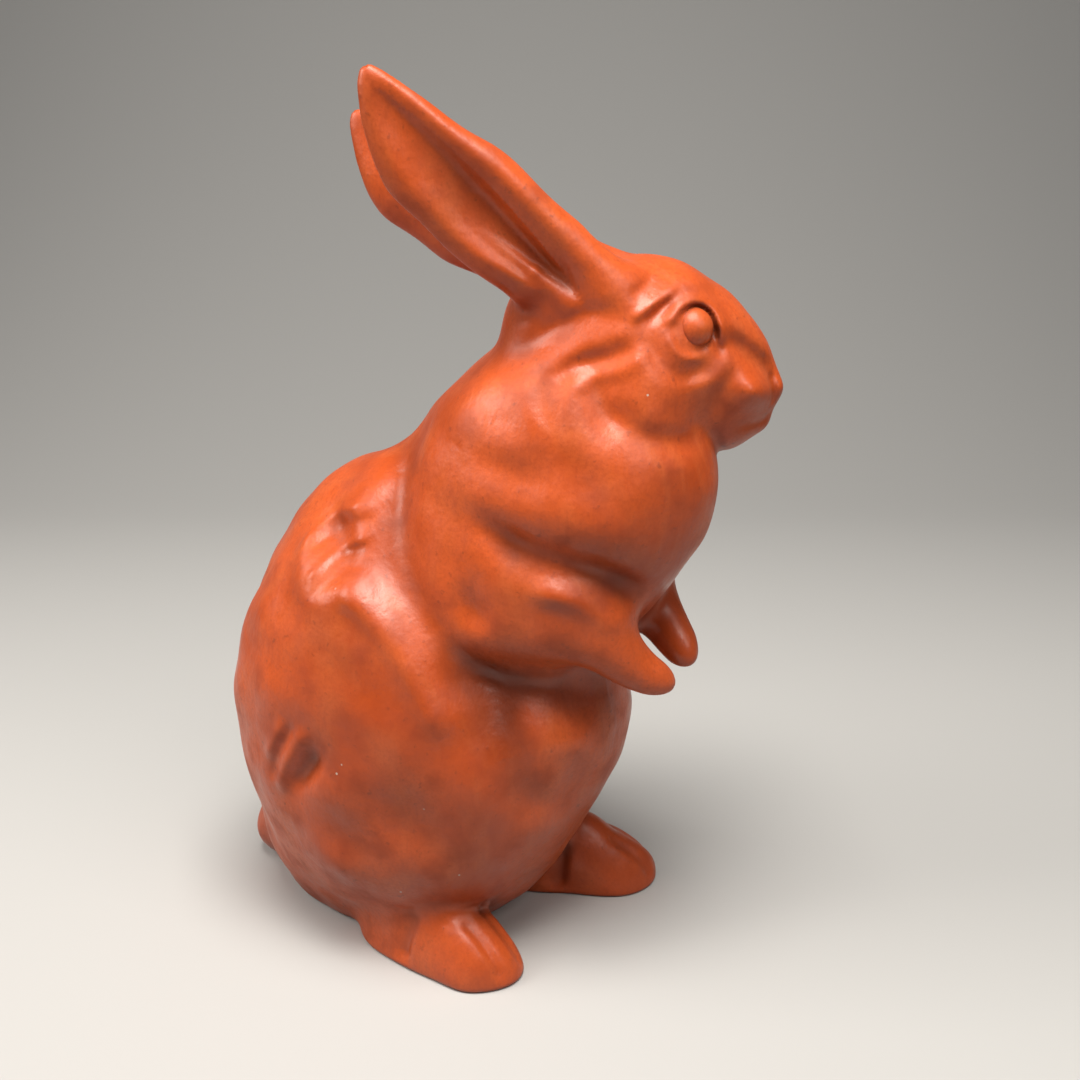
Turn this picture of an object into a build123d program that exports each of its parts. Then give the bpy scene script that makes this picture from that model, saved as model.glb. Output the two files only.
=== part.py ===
"""Terracotta rabbit figurine that sits up on its hind feet, ears laid back, forepaws hanging.

Millimetres, +Z up. The rabbit looks towards -Y, and its right side is -X.
The origin is the middle of the foot slab, on the surface that the figurine stands on.
The torso and the head are hollow castings. The other pieces are solid, each trimmed to the
casting that carries it and stuck there with a thin bed of clay slip.
"""

import os
from math import cos, radians, sin

from build123d import *

# Clay
wall = 5.0
slip_bed = 0.2
cut_overrun = 2.0

# Barrel: the rounded hind part of the torso, from the floor to the top of the back
barrel_height = 178.0
barrel_depth = 154.0
barrel_width = 122.0
barrel_shares = [  # level, centre forward, depth, width
    (0.0, 0.0, 0.70, 0.66),
    (0.084, 0.05, 0.805, 0.79),
    (0.174, 0.084, 0.857, 0.87),
    (0.27, 0.096, 0.922, 0.934),
    (0.466, 0.13, 1.0, 1.0),
    (0.669, 0.124, 0.909, 0.934),
    (0.826, 0.119, 0.70, 0.754),
    (0.916, 0.11, 0.49, 0.55),
    (0.975, 0.105, 0.24, 0.28),
]
barrel_top_share = 0.105

# Chest: the front part of the torso, from behind the forelegs up to the nape
chest_height = 124.0
chest_depth = 118.0
chest_width = 88.0
chest_base_share = 0.562
chest_shares = [  # level, centre forward, depth, width
    (0.0, 0.397, 0.45, 0.58),
    (0.205, 0.488, 0.72, 0.88),
    (0.45, 0.548, 0.95, 0.98),
    (0.623, 0.583, 0.95, 0.92),
    (0.77, 0.613, 0.79, 0.80),
    (0.893, 0.633, 0.57, 0.66),
    (0.965, 0.638, 0.32, 0.38),
]
chest_top_share = 0.638

# Haunches
haunch_length = 112.0
haunch_height = 136.0
haunch_thickness = 60.0
haunch_tilt = 20.0
haunch_spread_share = 0.27
haunch_forward_share = 0.103
haunch_rise_share = 0.45

# Foot of the torso, and the slab that closes it
foot_rim = 9.0
slab_thickness = 6.0
slab_vent_diameter = 7.0
slab_vent_back_share = 0.2

# Head, with the vent that joins its hollow to the torso's
head_length = 86.0
head_height = 62.0
head_width = 54.0
head_yaw = 25.0
head_pitch = 16.0
head_reach_share = 0.205
head_shares = [  # along, centre rise, height, width
    (0.0, 0.0, 0.3, 0.3),
    (0.07, 0.0, 0.56, 0.56),
    (0.186, 0.0, 0.84, 0.82),
    (0.35, 0.02, 1.0, 0.98),
    (0.535, 0.04, 0.99, 0.98),
    (0.70, 0.035, 0.86, 0.82),
    (0.825, 0.005, 0.71, 0.64),
    (0.92, -0.015, 0.58, 0.50),
    (0.977, -0.025, 0.38, 0.34),
]
nose_share = -0.02
neck_vent_diameter = 12.0

# Eyes: clay pellets pressed into shallow sockets
eye_diameter = 15.0
socket_depth = 3.0
eye_along_share = 0.60
eye_rise_share = 0.29
eye_spread_share = 0.30

# Ears
ear_length = 89.5
ear_width = 31.0
ear_thickness = 14.0
ear_splay = 4.0
right_ear_tilt = 44.5
left_ear_tilt = 37.0
ear_along_share = 0.12
ear_rise_share = 0.21
ear_spread_share = 0.24
ear_shares = [  # along, shift to the front edge, width, thickness
    (0.0, 0.15, 0.94, 1.0),
    (0.16, 0.15, 0.94, 1.0),
    (0.46, 0.08, 0.98, 1.0),
    (0.66, 0.0, 0.93, 0.86),
    (0.81, 0.05, 0.75, 0.69),
    (0.92, 0.11, 0.46, 0.52),
]
ear_tip_share = 0.17
scoop_length = 76.0
scoop_width = 20.0
scoop_depth = 8.0
scoop_along_share = 0.58
scoop_shift_share = 0.10

# Forelegs
foreleg_length = 81.0
foreleg_width = 34.0
foreleg_turn = 9.0
foreleg_drop = 28.0
shoulder_spread_share = 0.25
shoulder_forward_share = 0.39
shoulder_rise_share = 0.379
foreleg_shares = [  # along, shift outward, thickness
    (0.0, 0.0, 0.6),
    (0.25, 0.25, 0.94),
    (0.45, 0.26, 0.86),
    (0.65, 0.2, 0.65),
    (0.8, 0.12, 0.52),
    (0.9, 0.06, 0.42),
    (0.967, 0.02, 0.27),
]

# Hind feet
foot_length = 68.0
foot_width = 31.0
foot_height = 32.0
foot_shares = [  # along, width, height
    (0.0, 0.5, 0.5),
    (0.3, 0.9, 1.0),
    (0.55, 1.0, 0.92),
    (0.78, 1.0, 0.68),
    (0.93, 0.72, 0.42),
]
right_toe_forward_share = 0.46
right_toe_spread_share = 0.328
right_foot_splay = 7.0
left_toe_forward_share = 0.623
left_toe_spread_share = 0.31
left_foot_splay = 22.0

# Tail
tail_width = 27.0
tail_depth = 24.0
tail_height = 28.0
tail_back_share = 0.351
tail_rise_share = 0.357

RIGHT = -1
LEFT = 1


def place(left, forward, up):
    """A point of the figurine, given in the rabbit's own directions."""
    return Vector(left, -forward, up)


def upright_loft(base, height, depth, width, shares, top_share, grow):
    """A rounded form lofted through level ellipses, all its sizes grown by grow on each side."""
    with BuildPart() as form:
        for level_share, forward_share, depth_share, width_share in shares:
            level = base - grow + level_share * (height + 2 * grow)
            with BuildSketch(Plane(place(0, forward_share * depth, level))):
                Ellipse(width_share * (width / 2 + grow), depth_share * (depth / 2 + grow))
        top = Vertex(*place(0, top_share * depth, base + height + grow))
        loft(sections=[*form.pending_faces, top])
    return form.part


def ellipsoid(plane, length_x, length_y, length_z, grow=0.0):
    """An ellipsoid on a plane's axes, given by its full lengths."""
    with BuildPart() as form:
        Sphere(1)
        scale(by=(length_x / 2 + grow, length_y / 2 + grow, length_z / 2 + grow))
    return plane * form.part


def barrel(grow=0.0):
    return upright_loft(0, barrel_height, barrel_depth, barrel_width, barrel_shares, barrel_top_share, grow)


def chest(grow=0.0):
    base = chest_base_share * barrel_height
    return upright_loft(base, chest_height, chest_depth, chest_width, chest_shares, chest_top_share, grow)


def chest_top():
    return place(0, chest_top_share * chest_depth, chest_base_share * barrel_height + chest_height)


def haunch(side, grow=0.0):
    centre = place(
        side * haunch_spread_share * barrel_width,
        haunch_forward_share * barrel_depth,
        haunch_rise_share * barrel_height,
    )
    plane = Plane(centre).rotated((haunch_tilt, 0, 0))
    return ellipsoid(plane, haunch_thickness, haunch_length, haunch_height, grow)


def torso_forms(grow=0.0):
    return [barrel(grow), chest(grow), haunch(RIGHT, grow), haunch(LEFT, grow)]


def foot_ellipse(inset):
    """The outline of the torso's foot on the floor, drawn in by inset."""
    _, _, depth_share, width_share = barrel_shares[0]
    return Ellipse(width_share * barrel_width / 2 - inset, depth_share * barrel_depth / 2 - inset)


def head_turn():
    """Level directions of the turned head: ahead, and across to the rabbit's left."""
    ahead = Vector(sin(radians(head_yaw)), -cos(radians(head_yaw)), 0)
    across = Vector(cos(radians(head_yaw)), sin(radians(head_yaw)), 0)
    return ahead, across


def head_plane():
    """Origin at the back of the skull, z towards the nose, x to the rabbit's left, y up."""
    ahead, across = head_turn()
    origin = chest_top() - ahead * head_reach_share * head_length
    towards_nose = ahead * cos(radians(head_pitch)) - Vector(0, 0, sin(radians(head_pitch)))
    return Plane(origin, x_dir=across, z_dir=towards_nose)


def head_point(spread_share, rise_share, along_share):
    shares = Vector(spread_share * head_width, rise_share * head_height, along_share * head_length)
    return head_plane().from_local_coords(shares)


def head_form(grow=0.0):
    base = head_plane()
    with BuildPart() as form:
        for along_share, rise_share, height_share, width_share in head_shares:
            along = along_share * (head_length + 2 * grow) - grow
            with BuildSketch(base.offset(along)):
                with Locations((0, rise_share * head_height)):
                    Ellipse(width_share * (head_width / 2 + grow), height_share * (head_height / 2 + grow))
        nose = base.from_local_coords(Vector(0, nose_share * head_height, head_length + grow))
        loft(sections=[*form.pending_faces, Vertex(*nose)])
    return form.part


def eye_form(side, grow=0.0):
    centre = head_point(side * eye_spread_share, eye_rise_share, eye_along_share)
    with BuildPart() as form:
        with Locations(Location(centre)):
            Sphere(eye_diameter / 2 + grow)
    return form.part


def ear_plane(side, tilt):
    """Origin at the ear's root, z towards its tip, x outward through the blade."""
    ahead, across = head_turn()
    back_up = Vector(0, 0, sin(radians(tilt))) - ahead * cos(radians(tilt))
    towards_tip = back_up * cos(radians(ear_splay)) + across * side * sin(radians(ear_splay))
    root = head_point(side * ear_spread_share, ear_rise_share, ear_along_share)
    return Plane(root, x_dir=across * side, z_dir=towards_tip)


def ear_form(side, tilt):
    base = ear_plane(side, tilt)
    with BuildPart() as form:
        for along_share, shift_share, width_share, thickness_share in ear_shares:
            with BuildSketch(base.offset(along_share * ear_length)):
                with Locations((0, -side * shift_share * ear_width)):
                    Ellipse(thickness_share * ear_thickness / 2, width_share * ear_width / 2)
        tip = base.from_local_coords(Vector(0, -side * ear_tip_share * ear_width, ear_length))
        loft(sections=[*form.pending_faces, Vertex(*tip)])
    return form.part


def ear_scoop(side, tilt):
    base = ear_plane(side, tilt)
    centre = Vector(ear_thickness / 2, side * scoop_shift_share * ear_width, scoop_along_share * ear_length)
    plane = Plane(base.from_local_coords(centre), x_dir=base.x_dir, z_dir=base.z_dir)
    return ellipsoid(plane, 2 * scoop_depth, scoop_width, scoop_length)


def foreleg_form(side):
    """A tapering limb from the shoulder, inside the chest, to the tip of the hanging paw."""
    shoulder = place(
        side * shoulder_spread_share * chest_width,
        shoulder_forward_share * chest_depth,
        chest_base_share * barrel_height + shoulder_rise_share * chest_height,
    )
    inward = -side * sin(radians(foreleg_turn))
    level = cos(radians(foreleg_drop))
    towards_paw = place(inward * level, cos(radians(foreleg_turn)) * level, -sin(radians(foreleg_drop)))
    outward = place(side * cos(radians(foreleg_turn)), sin(radians(foreleg_turn)), 0)
    base = Plane(shoulder, x_dir=outward, z_dir=towards_paw)
    with BuildPart() as form:
        for along_share, shift_share, thickness_share in foreleg_shares:
            with BuildSketch(base.offset(along_share * foreleg_length)):
                with Locations((shift_share * foreleg_width, 0)):
                    Circle(thickness_share * foreleg_width / 2)
        tip = base.from_local_coords(Vector(0, 0, foreleg_length))
        loft(sections=[*form.pending_faces, Vertex(*tip)])
    return form.part


def foot_form(side, toe_forward_share, toe_spread_share, splay):
    """A long hind foot, flat underneath, from its heel below the haunch to its toe."""
    along = place(side * sin(radians(splay)), cos(radians(splay)), 0)
    toe = place(side * toe_spread_share * barrel_width, toe_forward_share * barrel_depth, 0)
    across = place(cos(radians(splay)), -side * sin(radians(splay)), 0)
    base = Plane(toe - along * foot_length, x_dir=across, z_dir=along)
    with BuildPart() as form:
        for along_share, width_share, height_share in foot_shares:
            with BuildSketch(base.offset(along_share * foot_length)):
                Ellipse(width_share * foot_width / 2, height_share * foot_height)
        loft(sections=[*form.pending_faces, Vertex(*toe)])
        split(bisect_by=Plane.XY, keep=Keep.TOP)
    return form.part


def tail_form():
    centre = place(0, -tail_back_share * barrel_depth, tail_rise_share * tail_height)
    whole = ellipsoid(Plane(centre), tail_width, tail_depth, tail_height)
    with BuildPart() as form:
        add(whole)
        split(bisect_by=Plane.XY, keep=Keep.TOP)
    return form.part


def export(part, name):
    part.label = name
    export_step(part, f"parts/{name}.step")


os.makedirs("parts", exist_ok=True)
outer_forms = torso_forms()
cavities = torso_forms(-wall)
seats = torso_forms(slip_bed)
chest_seat = chest(slip_bed)
head_outer = head_form()
head_cavity = head_form(-wall)
head_seat = head_form(slip_bed)
socket_floor = head_form(-socket_depth)
socket_bed = head_form(-socket_depth - slip_bed)

# Torso: a hollow casting, open at the foot and vented into the head
with BuildPart() as torso:
    for form in outer_forms:
        add(form)
    for cavity in cavities:
        add(cavity, mode=Mode.SUBTRACT)
    with BuildSketch():
        foot_ellipse(foot_rim)
    extrude(amount=wall + cut_overrun, mode=Mode.SUBTRACT)
    with BuildSketch(Plane(chest_top() + Vector(0, 0, cut_overrun))):
        Circle(neck_vent_diameter / 2)
    extrude(amount=-wall - 2 * cut_overrun, mode=Mode.SUBTRACT)
export(torso.part, "torso")

# Foot slab: closes the torso's foot and lets the kiln's heat into the hollow
with BuildPart() as foot_slab:
    with BuildSketch():
        foot_ellipse(foot_rim + slip_bed)
        with Locations(place(0, -slab_vent_back_share * barrel_depth, 0)):
            Circle(slab_vent_diameter / 2, mode=Mode.SUBTRACT)
    extrude(amount=slab_thickness)
export(foot_slab.part, "foot_slab")

# Eye sockets and eyes
sockets = []
for side_name, side in (("right", RIGHT), ("left", LEFT)):
    pellet = eye_form(side)
    hollow = eye_form(side, slip_bed)
    with BuildPart() as socket:
        add(hollow)
        add(socket_bed, mode=Mode.SUBTRACT)
    sockets.append(socket.part)
    with BuildPart() as eye:
        add(pellet)
        add(socket_floor, mode=Mode.SUBTRACT)
    export(eye.part, f"{side_name}_eye")

# Head: a hollow casting, open where it sits on the chest
with BuildPart() as head:
    add(head_outer)
    add(head_cavity, mode=Mode.SUBTRACT)
    add(chest_seat, mode=Mode.SUBTRACT)
    for socket_form in sockets:
        add(socket_form, mode=Mode.SUBTRACT)
export(head.part, "head")

# Ears
for side_name, side, tilt in (("right", RIGHT, right_ear_tilt), ("left", LEFT, left_ear_tilt)):
    blade = ear_form(side, tilt)
    scoop = ear_scoop(side, tilt)
    with BuildPart() as ear:
        add(blade)
        add(scoop, mode=Mode.SUBTRACT)
        add(head_seat, mode=Mode.SUBTRACT)
        add(chest_seat, mode=Mode.SUBTRACT)
    export(ear.part, f"{side_name}_ear")

# Forelegs
for side_name, side in (("right", RIGHT), ("left", LEFT)):
    limb = foreleg_form(side)
    with BuildPart() as foreleg:
        add(limb)
        for seat in seats:
            add(seat, mode=Mode.SUBTRACT)
    export(foreleg.part, f"{side_name}_foreleg")

# Hind feet
feet = (
    ("right", RIGHT, right_toe_forward_share, right_toe_spread_share, right_foot_splay),
    ("left", LEFT, left_toe_forward_share, left_toe_spread_share, left_foot_splay),
)
for side_name, side, toe_forward_share, toe_spread_share, splay in feet:
    paw = foot_form(side, toe_forward_share, toe_spread_share, splay)
    with BuildPart() as hind_foot:
        add(paw)
        for seat in seats:
            add(seat, mode=Mode.SUBTRACT)
    export(hind_foot.part, f"{side_name}_hind_foot")

# Tail
tuft = tail_form()
with BuildPart() as tail:
    add(tuft)
    for seat in seats:
        add(seat, mode=Mode.SUBTRACT)
export(tail.part, "tail")
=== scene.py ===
"""Terracotta rabbit figurine: sculpted pieces, burnished clay and studio light, in metres."""

import bpy
import numpy as np
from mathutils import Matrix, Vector


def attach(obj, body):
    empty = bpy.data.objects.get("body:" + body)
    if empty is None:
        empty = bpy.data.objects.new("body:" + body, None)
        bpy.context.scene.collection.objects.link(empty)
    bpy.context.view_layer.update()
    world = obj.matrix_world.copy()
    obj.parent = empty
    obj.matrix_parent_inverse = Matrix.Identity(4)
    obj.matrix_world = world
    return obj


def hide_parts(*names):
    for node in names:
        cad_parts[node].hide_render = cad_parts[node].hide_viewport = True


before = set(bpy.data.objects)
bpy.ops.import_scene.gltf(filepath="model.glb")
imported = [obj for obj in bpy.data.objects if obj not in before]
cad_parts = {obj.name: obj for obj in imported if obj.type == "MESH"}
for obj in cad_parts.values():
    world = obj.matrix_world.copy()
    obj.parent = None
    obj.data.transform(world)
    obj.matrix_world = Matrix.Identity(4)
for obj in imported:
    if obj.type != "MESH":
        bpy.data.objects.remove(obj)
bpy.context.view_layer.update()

# The figure is sculpted as a field: the signed distance to its surface, in millimetres.
# Points are three rows: left, forward and up, from the middle of the foot slab.
# A side is 1 on the rabbit's left and -1 on its right, and angles are in degrees.
SIDES = (-1, 1)

# Least values that keep divisions finite
LEAST_LENGTH = 1e-6
LEAST_SLOPE = 1e-4

# Steps of a loft's tables
LOFT_STEPS = 400
# Least square of a round end's width, and the width above which its radii are read
LEAST_NARROWING_SHARE = 0.02
OPEN_NARROWING_SHARE = 0.75
# Stretch at each end of a loft over which its slopes fade in
END_FADE_SHARE = 0.15

# Spacing and reach of the dabs that make a stroke, in widths of the stroke
DAB_SPACING_SHARE = 0.6
DAB_REACH_SHARE = 2.6


def ramp(value, low, high):
    """Nothing up to the low end, one from the high end on, and straight between them."""
    return np.clip((value - low) / (high - low), 0.0, 1.0)


def hump(distance, spread):
    """One in the middle, falling off softly over a spread."""
    return np.exp(-(distance / spread) ** 2)


def smooth_union(a, b, blend):
    """Two fields joined, with the seam rounded off over a blend."""
    share = np.clip(0.5 + 0.5 * (b - a) / blend, 0.0, 1.0)
    return b + (a - b) * share - blend * share * (1.0 - share)


def smooth_cut(a, b, blend):
    """The first field with the second taken out, and the edge rounded off over a blend."""
    return -smooth_union(-a, b, blend)


def smoothed(levels, values, step, spread):
    """A table of values resampled evenly and rounded off over a spread."""
    even = np.linspace(levels[0], levels[-1], 1 + round((levels[-1] - levels[0]) / step))
    table = np.interp(even, levels, values)
    reach = int(3 * spread / step)
    kernel = np.exp(-0.5 * (np.arange(-reach, reach + 1) * step / spread) ** 2)
    before = 2 * table[0] - table[reach:0:-1]
    after = 2 * table[-1] - table[-2:-reach - 2:-1]
    padded = np.concatenate([before, table, after])
    return even, np.convolve(padded, kernel / kernel.sum(), mode="valid")


class Loft:
    """A rounded form along an axis, through ellipses, with round or open ends.

    Each section is a share of the length, the middle across the second radius, and the two radii.
    Round ends and the spread of the rounding are shares of the length too.
    """

    def __init__(self, length, sections, start_round=0.0, end_round=0.0, spread=0.06):
        rows = np.array(sections, dtype=float)
        levels = rows[:, 0] * length
        step = length / LOFT_STEPS
        self.length = length
        self.start = start_round * length
        self.end = end_round * length
        self.even, self.centre = smoothed(levels, rows[:, 1], step, spread * length)
        narrowing = np.clip(1.0 - self.closing(self.even)[0] ** 2, LEAST_NARROWING_SHARE, 1.0) ** 0.5
        wide = narrowing > OPEN_NARROWING_SHARE
        tables = []
        for column in (2, 3):
            radii = np.interp(self.even, levels, rows[:, column]) / narrowing
            radii = np.interp(self.even, self.even[wide], radii[wide])
            tables.append(smoothed(self.even, radii, step, spread * length)[1])
        self.first, self.second = tables
        fade = ramp(np.minimum(self.even, length - self.even), 0.0, END_FADE_SHARE * length)
        self.slopes = [np.gradient(table, step) * fade for table in (self.first, self.second, self.centre)]

    def closing(self, along):
        """How far past the start of a round end, in lengths of that end, and its slope."""
        over = np.zeros_like(along)
        slope = np.zeros_like(along)
        if self.start > 0:
            past = along < self.start
            over = np.where(past, (self.start - along) / self.start, over)
            slope = np.where(past, -1.0 / self.start, slope)
        if self.end > 0:
            past = along > self.length - self.end
            over = np.where(past, (along - self.length + self.end) / self.end, over)
            slope = np.where(past, 1.0 / self.end, slope)
        return over, slope

    def distance(self, along, u, v):
        """u is across the first radius, v is across the second, from the centre table on v."""
        a = np.interp(along, self.even, self.first)
        b = np.interp(along, self.even, self.second)
        c = np.interp(along, self.even, self.centre)
        a_slope, b_slope, c_slope = [np.interp(along, self.even, slope) for slope in self.slopes]
        over, over_slope = self.closing(along)
        x = u / a
        y = (v - c) / b
        radius = np.sqrt(x ** 2 + y ** 2 + over ** 2)
        inverse = 1.0 / np.maximum(radius, LEAST_LENGTH)
        x, y, over = x * inverse, y * inverse, over * inverse
        lengthwise = -x ** 2 * a_slope / a - y ** 2 * b_slope / b - y * c_slope / b + over * over_slope
        return (radius - 1.0) / np.sqrt((x / a) ** 2 + (y / b) ** 2 + lengthwise ** 2 + LEAST_SLOPE ** 2)


def ellipsoid(p, centre, radii, turn=None):
    """An ellipsoid, whose axes a turn may tilt."""
    q = p - np.array(centre, dtype=float)[:, None]
    if turn is not None:
        q = turn @ q
    r = np.array(radii, dtype=float)[:, None]
    inner = np.sqrt(((q / r) ** 2).sum(0))
    outer = np.sqrt(((q / r ** 2) ** 2).sum(0))
    return inner * (inner - 1.0) / np.maximum(outer, LEAST_SLOPE)


def limb(p, joints, blend):
    """Tapering rounded segments, one after the other; each joint is a place and a radius."""
    rows = np.array(joints, dtype=float)
    total = None
    for begin, finish in zip(rows[:-1], rows[1:]):
        run = finish[:3] - begin[:3]
        q = p - begin[:3, None]
        share = np.clip((run @ q) / (run @ run), 0.0, 1.0)
        radius = begin[3] + (finish[3] - begin[3]) * share
        gap = np.sqrt(((q - run[:, None] * share) ** 2).sum(0)) - radius
        total = gap if total is None else smooth_union(total, gap, blend)
    return total


def curve(points, spacing):
    """Closely spaced points of a smooth line through a few points."""
    rows = np.array(points, dtype=float)
    before = np.vstack([2 * rows[0] - rows[1], rows[:-2]])
    after = np.vstack([rows[2:], 2 * rows[-1] - rows[-2]])
    chain = [rows[:1]]
    for p0, p1, p2, p3 in zip(before, rows[:-1], rows[1:], after):
        count = int(np.ceil(np.sqrt(((p2 - p1) ** 2).sum()) / spacing))
        t = np.arange(1, count + 1)[:, None] / count
        chain.append(0.5 * (2 * p1 + (p2 - p0) * t + (2 * p0 - 5 * p1 + 4 * p2 - p3) * t ** 2
                            + (3 * p1 - p0 - 3 * p2 + p3) * t ** 3))
    return np.vstack(chain)


class Strokes:
    """Soft ridges and furrows drawn in a plane; each is a height, a width and a few points."""

    def __init__(self, strokes):
        self.lines = []
        for height, width, points in strokes:
            chain = curve(points, DAB_SPACING_SHARE * width)
            tallest = self.press(chain[:, 0], chain[:, 1], chain, width).max()
            self.lines.append((height / tallest, width, chain))

    @staticmethod
    def press(u, v, chain, width):
        """The dabs of one stroke, each as high as the next."""
        total = np.zeros_like(u)
        for place_u, place_v in chain:
            total += np.exp(-((u - place_u) ** 2 + (v - place_v) ** 2) / width ** 2)
        return total

    def height(self, u, v):
        """Height of all strokes together at places in the plane."""
        total = np.zeros_like(u)
        for height, width, chain in self.lines:
            reach = DAB_REACH_SHARE * width
            near = (u > chain[:, 0].min() - reach) & (u < chain[:, 0].max() + reach)
            near &= (v > chain[:, 1].min() - reach) & (v < chain[:, 1].max() + reach)
            if near.any():
                total[near] += height * self.press(u[near], v[near], chain, width)
        return total


def turned(yaw, pitch):
    """Rows of a frame: left across, forward along, up; forward dips by pitch after turning by yaw."""
    yaw, pitch = np.radians(yaw), np.radians(pitch)
    across = np.array([np.cos(yaw), -np.sin(yaw), 0.0])
    level = np.array([np.sin(yaw), np.cos(yaw), 0.0])
    upright = np.array([0.0, 0.0, 1.0])
    along = level * np.cos(pitch) - upright * np.sin(pitch)
    up = upright * np.cos(pitch) + level * np.sin(pitch)
    return np.stack([across, along, up])


def on_side(place, side):
    """A place that is written for the left, on the side that is asked for."""
    return np.array([side * place[0], place[1], place[2]])


# Torso: barrel, chest and haunches
BARREL = Loft(178.0, [
    (0.0, 1.0, 35.0, 48.0), (0.04, 5.0, 41.5, 55.0), (0.084, 5.5, 45.5, 60.0), (0.174, 9.5, 51.5, 64.0),
    (0.27, 13.0, 57.0, 70.5), (0.466, 21.0, 61.0, 76.0), (0.669, 19.1, 57.0, 70.0),
    (0.826, 18.3, 46.0, 53.9), (0.916, 17.0, 33.5, 37.7), (0.975, 16.2, 17.1, 18.5), (1.0, 16.2, 0.0, 0.0)],
    end_round=0.36)
CHEST_BASE = 94.0
CHEST = Loft(130.0, [
    (0.0, 44.0, 0.0, 0.0), (0.1, 49.0, 27.0, 29.0), (0.24, 57.6, 38.7, 43.0), (0.475, 64.7, 43.1, 56.0),
    (0.64, 68.8, 40.5, 56.0), (0.78, 72.3, 35.2, 46.6), (0.90, 74.7, 29.0, 33.6), (0.967, 75.3, 16.7, 18.9),
    (1.0, 75.3, 0.0, 0.0)], start_round=0.45, end_round=0.40)
CHEST_BLEND = 16.0
HAUNCH_PLACE = (33.0, 15.9, 80.0)
HAUNCH_RADII = (30.0, 56.0, 68.0)
HAUNCH_TURN = turned(0.0, -20.0)
HAUNCH_BLEND = 10.0


def torso_field(p):
    """The barrel with the chest on it and a haunch on each side."""
    x, f, z = p
    body = BARREL.distance(z, x, f)
    body = smooth_union(body, CHEST.distance(z - CHEST_BASE, x, f), CHEST_BLEND)
    for side in SIDES:
        haunch = ellipsoid(p, on_side(HAUNCH_PLACE, side), HAUNCH_RADII, HAUNCH_TURN)
        body = smooth_union(body, haunch, HAUNCH_BLEND)
    return body


# Head, in a frame of its own: across, along from the back of the skull, up
HEAD_ORIGIN = np.array([-7.45, 59.3, 224.0])
HEAD_YAW = 25.0
HEAD_PITCH = 16.0
HEAD_TURN = turned(HEAD_YAW, HEAD_PITCH)
HEAD = Loft(86.0, [
    (0.0, 0.0, 0.0, 0.0), (0.07, 0.0, 15.1, 17.4), (0.186, 0.0, 22.1, 26.0), (0.35, 1.2, 26.5, 31.0),
    (0.535, 2.5, 26.5, 30.7), (0.70, 2.2, 22.1, 26.7), (0.825, 0.3, 17.3, 22.0), (0.92, -0.9, 13.5, 18.0),
    (0.977, -1.5, 9.2, 11.8), (1.0, -1.5, 0.0, 0.0)], start_round=0.3, end_round=0.18, spread=0.035)
NAPE_PLACE = (0.0, 13.0, 4.0)
NAPE_RADII = (16.5, 19.0, 20.0)
NAPE_BLEND = 6.0
EYE_PLACE = (17.9, 50.6, 15.8)
EYE_RADIUS = 6.6


def head_frame(p):
    """Points in the head's own frame."""
    return HEAD_TURN @ (p - HEAD_ORIGIN[:, None])


def head_field(p):
    """The skull, filled out at the nape."""
    q = head_frame(p)
    skull = HEAD.distance(q[1], q[0], q[2])
    return smooth_union(skull, ellipsoid(q, NAPE_PLACE, NAPE_RADII), NAPE_BLEND)


def eye_field(p, side):
    """A ball in the head's socket."""
    offset = head_frame(p) - on_side(EYE_PLACE, side)[:, None]
    return np.sqrt((offset ** 2).sum(0)) - EYE_RADIUS


# Ears, in a frame of their own: outward through the blade, along to the tip, to the front edge
EAR_ROOT = (13.0, 10.3, 13.0)
EAR_TILT = {-1: 44.8, 1: 35.2}
EAR_SPLAY = 4.0
EAR = Loft(87.0, [
    (0.0, 4.2, 0.0, 0.0), (0.1, 4.2, 6.0, 14.7), (0.16, 3.9, 6.6, 14.7), (0.27, 2.9, 6.2, 15.2),
    (0.43, 1.8, 5.4, 16.4), (0.54, 1.4, 5.0, 15.8), (0.63, -0.2, 4.6, 14.4), (0.7, -0.7, 4.3, 13.6),
    (0.81, 1.0, 3.8, 11.2), (0.91, 3.0, 3.0, 7.5), (0.97, 5.0, 2.2, 3.8), (1.0, 5.5, 0.0, 0.0)],
    start_round=0.12, end_round=0.12, spread=0.03)
# Rolled lip along the front edge, which leans outward towards the root
EAR_LIP = Loft(107.5, [
    (0.0, 12.0, 0.0, 0.0), (0.1, 12.5, 8.0, 8.0), (0.2, 13.0, 7.4, 7.2), (0.33, 12.7, 6.6, 6.0),
    (0.47, 13.0, 6.2, 5.2), (0.6, 12.8, 5.6, 4.8), (0.73, 10.9, 4.2, 2.8), (0.87, 9.6, 3.2, 2.5),
    (0.955, 8.2, 2.4, 2.0), (1.0, 7.0, 0.0, 0.0)], start_round=0.15, end_round=0.06, spread=0.045)
EAR_LIP_START = -22.0
EAR_LIP_LEAN_SHARE = 0.03
EAR_LIP_UPRIGHT = 90.0
EAR_LIP_BLEND = 3.0
# Dish that hollows the outer face, gently to the back edge and steeply to the lip
EAR_DISH = Loft(92.5, [
    (0.0, 0.0, 0.0, 0.0), (0.1, 0.0, 4.6, 6.0), (0.2, 0.0, 5.6, 8.0), (0.35, 0.0, 6.6, 13.0),
    (0.5, 0.0, 6.8, 15.0), (0.7, 0.0, 6.4, 14.0), (0.85, 0.0, 5.9, 10.0), (0.94, 0.0, 5.2, 6.0),
    (1.0, 0.0, 0.0, 0.0)], start_round=0.15, end_round=0.1, spread=0.05)
EAR_DISH_START = -6.0
EAR_DISH_OUT = 8.0
EAR_DISH_STEEPNESS = 3.4
EAR_DISH_BLEND = 2.0
EAR_VALLEY = 4.0
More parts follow.
